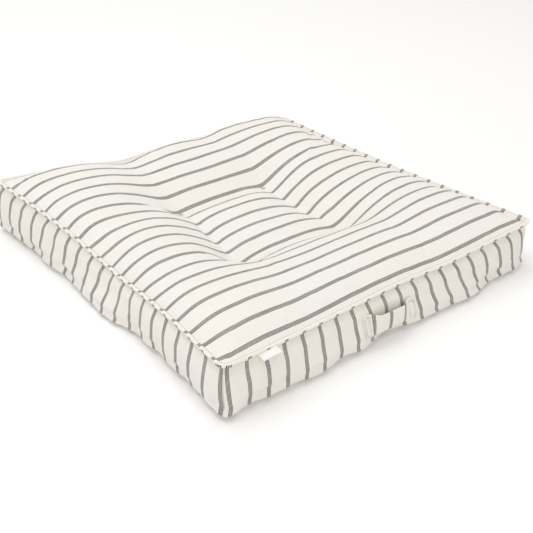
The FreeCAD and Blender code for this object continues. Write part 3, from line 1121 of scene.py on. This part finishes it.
STRAP_LEFT = 0.0050             # the cloth strap lies this far left of the plain one
STRAP_CLOSE = 0.0010            # and this much closer to the wall
STRAP_JOIN = -0.0040            # where the two halves meet, to the right of the middle
STRAP_STRIPE = -0.0040          # where a stripe's middle lies, to the right of the middle
OVAL = 0.42                     # how square the strap's section is: 1 is an oval, near 0 a block


def strap_place():
    """Middle of the cloth strap, from the plain one's place."""
    low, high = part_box("handle_band")
    return (low[0] + high[0]) / 2 - STRAP_LEFT, (low[1] + high[1]) / 2 + STRAP_CLOSE, (low[2] + high[2]) / 2


def strap_share(x):
    """How free the strap is at x from its middle: 0 over its sewn ends, then a smooth step to 1."""
    strap = settings("cushion_strap")
    t = np.clip((strap.rise_start - np.abs(x)) / (strap.rise_start - strap.rise_end), 0, 1)
    return smooth(t)


def strap_lean(away):
    """How far the strap's middle lies above level at a place away from its middle."""
    return 0.0012 - 0.0030 * away / settings("cushion_strap").reach


def wall_out(x, z):
    """The front wall's outward place at x and height z, read from the finished wall."""
    if "front_wall" not in built:
        built["front_wall"] = wall_grid(0)[0]
    points = built["front_wall"]
    column = np.interp(x, points[:, len(points[0]) // 2, 0], np.arange(len(points)))
    low = np.clip(np.floor(column).astype(int), 0, len(points) - 2)
    share = column - low
    line = points[low] * (1 - share[..., None, None]) + points[low + 1] * share[..., None, None]
    near = np.abs(line[..., 2] - z[..., None]).argmin(-1)
    return np.take_along_axis(line[..., 1], near[..., None], -1)[..., 0]


def strap_half(name, side, nodes):
    """Half of the strap, from its sewn end to the middle: a squarish oval section carried along a
    line that lies on the wall at the sewn end and then stands off it, bowed a little outwards."""
    strap = settings("cushion_strap")
    centre_x, free_y, centre_z = strap_place()
    steps, count = 70, 44
    away = np.linspace(side * strap.reach, STRAP_JOIN, steps)
    angle = np.linspace(0, 2 * math.pi, count, endpoint=False)
    c, s = np.cos(angle), np.sin(angle)
    across = np.sign(c) * np.abs(c) ** OVAL
    deep = np.sign(s) * np.abs(s) ** OVAL
    end = np.clip((strap.reach - np.abs(away)) / 0.006, 0, 1)
    narrow = 0.60 + 0.40 * np.sqrt(1 - (1 - end) ** 2)
    thin = 0.35 + 0.65 * np.sqrt(1 - (1 - end) ** 2)
    share = strap_share(away)[:, None]
    x = centre_x + np.broadcast_to(away[:, None], (steps, count))
    narrow = narrow * (1 - 0.17 * share[:, 0])
    z = centre_z + across * strap.width / 2 * narrow[:, None] + strap_lean(away)[:, None]
    rest = wall_out(x, z) - strap.cloth * 0.45
    rest = rest + 0.0005 * np.sin(z * 900.0 + x * 300.0)
    bow = 0.0012 * (1 - across ** 2) - 0.0006 * np.sin(away[:, None] * 60.0)
    y = rest * (1 - share) + (free_y - bow) * share - deep * strap.cloth / 2 * thin[:, None]
    points = np.stack([x, y, z], -1)
    i = np.arange(steps - 1)[:, None] * count
    j = np.arange(count)
    nxt = (j + 1) % count
    quads = np.stack([i + j, i + nxt, i + nxt + count, i + j + count], -1).reshape(-1, 4)
    line = points[:, 0]
    run = run_along(line)
    place = STRAP_JOIN - STRAP_STRIPE + side * (run[-1] - run)
    flat = np.stack(np.broadcast_arrays(across[None] * strap.width / 2, place[:, None]), -1)
    flat = flat.reshape(-1, 2)
    caps = []
    for start, order in ((0, (3, 2, 1, 0)), ((steps - 1) * count, (0, 1, 2, 3))):
        k = np.arange(count // 2 - 1)
        cap = np.stack([k, k + 1, count - 2 - k, (count - 1 - k) % count], -1) + start
        caps.append(cap[:, order])
    faces = np.concatenate([quads, *caps])
    if side > 0:
        faces = faces[:, ::-1]
    mesh = make_mesh(name, points.reshape(-1, 3), faces, flat[faces.ravel()])
    piece = show(name, mesh, "striped_cotton", nodes, None)
    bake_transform(piece)


class CUSHION_OT_handle(bpy.types.Operator):
    """Sew on the carrying strap and its boxes of stitches"""
    bl_idname = "cushion.handle"
    bl_label = "Handle"

    def execute(self, context):
        strap = settings("cushion_strap")
        strap_half("handle_strap_left", -1, ["handle_end_left", "handle_band"])
        strap_half("handle_strap_right", 1, ["handle_end_right"])
        centre_x, _, centre_z = strap_place()
        angle = np.linspace(0, 2 * math.pi, 140)
        c, s = np.cos(angle), np.sin(angle)
        far, near = strap.reach - 0.0026, strap.rise_start - 0.0010
        for side, name in ((-1, "left"), (1, "right")):
            x = centre_x + side * ((far + near) / 2 + (far - near) / 2 * np.sign(c) * np.abs(c) ** OVAL)
            z = centre_z + (strap.width / 2 - 0.0040) * np.sign(s) * np.abs(s) ** OVAL
            z = z + strap_lean(side * strap.reach)
            y = wall_out(x, z) - strap.cloth * 0.98
            path = np.stack([x, y, z], -1)
            node = "handle_stitching_" + name
            part = stitches(path, np.gradient(path, axis=0), 0.00042, 0.0010, 0.0034)
            show(node, make_mesh(node, *part), "sewing_thread", [node])
        return {"FINISHED"}


LABEL_DROOP = math.radians(20)  # how far below level the label hangs
LABEL_REACH = 0.0140            # from the hinge's line to its tip
LABEL_ROOT = 0.0022             # and back into the seam
LABEL_BACK = 0.0035             # it starts this far behind its hinge, so as to lie on the ridge
LABEL_UP = 0.0050               # and this far above it
LABEL_SKEW = 0.0035             # how far its tip is pulled sideways


class CUSHION_OT_label(bpy.types.Operator):
    """Fold the small ribbon into its seam"""
    bl_idname = "cushion.label"
    bl_label = "Label"

    def execute(self, context):
        low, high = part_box("label")
        width, pivot = high[0] - low[0], np.array(joint_place("label_flip"))
        u, v = np.meshgrid(np.linspace(-1, 1, 31), np.linspace(0, 1, 17), indexing="ij")
        lift = 0.0012 * np.sin(v * math.pi / 2) * (u * 0.7 + 0.3) + 0.0006 * np.cos(u * 3.0) * v
        run = -LABEL_ROOT + v * (LABEL_REACH + LABEL_ROOT)
        x = pivot[0] + u * width / 2 * (1 - 0.05 * (1 - v) ** 2) + LABEL_SKEW * v
        y = pivot[1] + LABEL_BACK - run * math.cos(LABEL_DROOP) - lift * math.sin(LABEL_DROOP)
        z = pivot[2] + LABEL_UP - run * math.sin(LABEL_DROOP) + lift * math.cos(LABEL_DROOP)
        points = np.stack([x, y, z], -1)
        mesh = grid_mesh("label", points, np.stack([u * width / 2, v * LABEL_REACH], -1), True)
        piece = show("label", mesh, "satin_ribbon", ["label"], LABEL_BODY)
        thicken(piece, 0.0007)
        return {"FINISHED"}


def joint_place(name):
    """A joint's pivot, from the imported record."""
    for joint in frame["record"]["behaviour"]["joints"]:
        if joint["name"] == name:
            return joint["pos_m"]
    raise RuntimeError("no joint named " + name)


# Stage

# Each lamp: name, place, size in metres, power in watts, and tint
LAMPS = (("key", (-0.35, 0.7, 2.9), 2.6, 42.0, (0.90, 0.97, 1.0)),
         ("fill", (-1.4, -2.1, 1.3), 2.2, 11.0, (1.0, 0.92, 0.85)))
FLOOR_REACH = 6.0


class CUSHION_OT_stage(bpy.types.Operator):
    """Set out the floor, the soft lights and the camera"""
    bl_idname = "cushion.stage"
    bl_label = "Stage"

    def execute(self, context):
        look = settings("cushion_stage")
        self.floor(look)
        self.lights()
        self.camera(look)
        return {"FINISHED"}

    def floor(self, look):
        finish = Finish("floor")
        grain = finish.noise(finish.place(), 40.0, 2.0)
        tone = finish.mix(grain, [c * 0.995 for c in look.floor], look.floor)
        finish.set(colour=tone, roughness=0.9, specular=0.1)
        mesh = bpy.data.meshes.new("floor")
        far = FLOOR_REACH
        mesh.from_pydata([(-far, -far, 0), (far, -far, 0), (far, far, 0), (-far, far, 0)], [],
                         [(0, 1, 2, 3)])
        mesh.materials.append(finish.material)
        floor = bpy.data.objects.new("floor", mesh)
        bpy.context.scene.collection.objects.link(floor)

    def lights(self):
        world = bpy.data.worlds.new("surroundings")
        world.use_nodes = True
        background = world.node_tree.nodes["Background"]
        background.inputs["Color"].default_value = (1.0, 0.960, 0.925, 1.0)
        background.inputs["Strength"].default_value = 0.735
        bpy.context.scene.world = world
        bpy.context.scene.view_settings.view_transform = "Standard"
        for name, place, size, power, tint in LAMPS:
            light = bpy.data.lights.new(name, "AREA")
            light.shape = "SQUARE"
            light.size = size
            light.energy = power
            light.color = tint
            lamp = bpy.data.objects.new(name, light)
            lamp.location = place
            lamp.rotation_euler = (-Vector(place)).to_track_quat("-Z", "Y").to_euler()
            bpy.context.scene.collection.objects.link(lamp)

    def camera(self, look):
        a, e = math.radians(look.azimuth), math.radians(look.elevation)
        back = Vector((math.sin(a) * math.cos(e), -math.cos(a) * math.cos(e), math.sin(e)))
        camera = bpy.data.objects.new("camera", bpy.data.cameras.new("camera"))
        camera.data.lens = look.lens
        camera.data.sensor_width = 36.0
        turn = (-back).to_track_quat("-Z", "Y").to_matrix() @ Matrix.Rotation(
            math.radians(look.roll), 3, "Z")
        camera.matrix_world = Matrix.Translation(Vector(look.target) + back * look.distance) @ turn.to_4x4()
        bpy.context.scene.collection.objects.link(camera)
        bpy.context.scene.camera = camera


class CUSHION_PT_panel(bpy.types.Panel):
    """Lists the pieces of the cushion"""
    bl_idname = "CUSHION_PT_panel"
    bl_label = "Floor cushion"
    bl_space_type = "VIEW_3D"
    bl_region_type = "UI"
    bl_category = "Cushion"

    def draw(self, context):
        for operator in OPERATORS:
            self.layout.operator(operator.bl_idname)


GROUPS = {"cushion_pad": PadSizes, "cushion_cloth": ClothLook, "cushion_strap": StrapSizes,
          "cushion_stage": StageLook}
OPERATORS = (CUSHION_OT_filling, CUSHION_OT_panels, CUSHION_OT_boxing, CUSHION_OT_welts,
             CUSHION_OT_stitching, CUSHION_OT_tufts, CUSHION_OT_handle, CUSHION_OT_label,
             CUSHION_OT_stage)


def register():
    for name, group in GROUPS.items():
        bpy.utils.register_class(group)
        setattr(bpy.types.Scene, name, bpy.props.PointerProperty(type=group))
    for item in (*OPERATORS, CUSHION_PT_panel):
        bpy.utils.register_class(item)


def unregister():
    for item in reversed((*OPERATORS, CUSHION_PT_panel)):
        bpy.utils.unregister_class(item)
    for name, group in reversed(list(GROUPS.items())):
        delattr(bpy.types.Scene, name)
        bpy.utils.unregister_class(group)


def main():
    register()
    for operator in OPERATORS:
        group, name = operator.bl_idname.split(".")
        getattr(getattr(bpy.ops, group), name)()


if __name__ == "__main__":
    main()
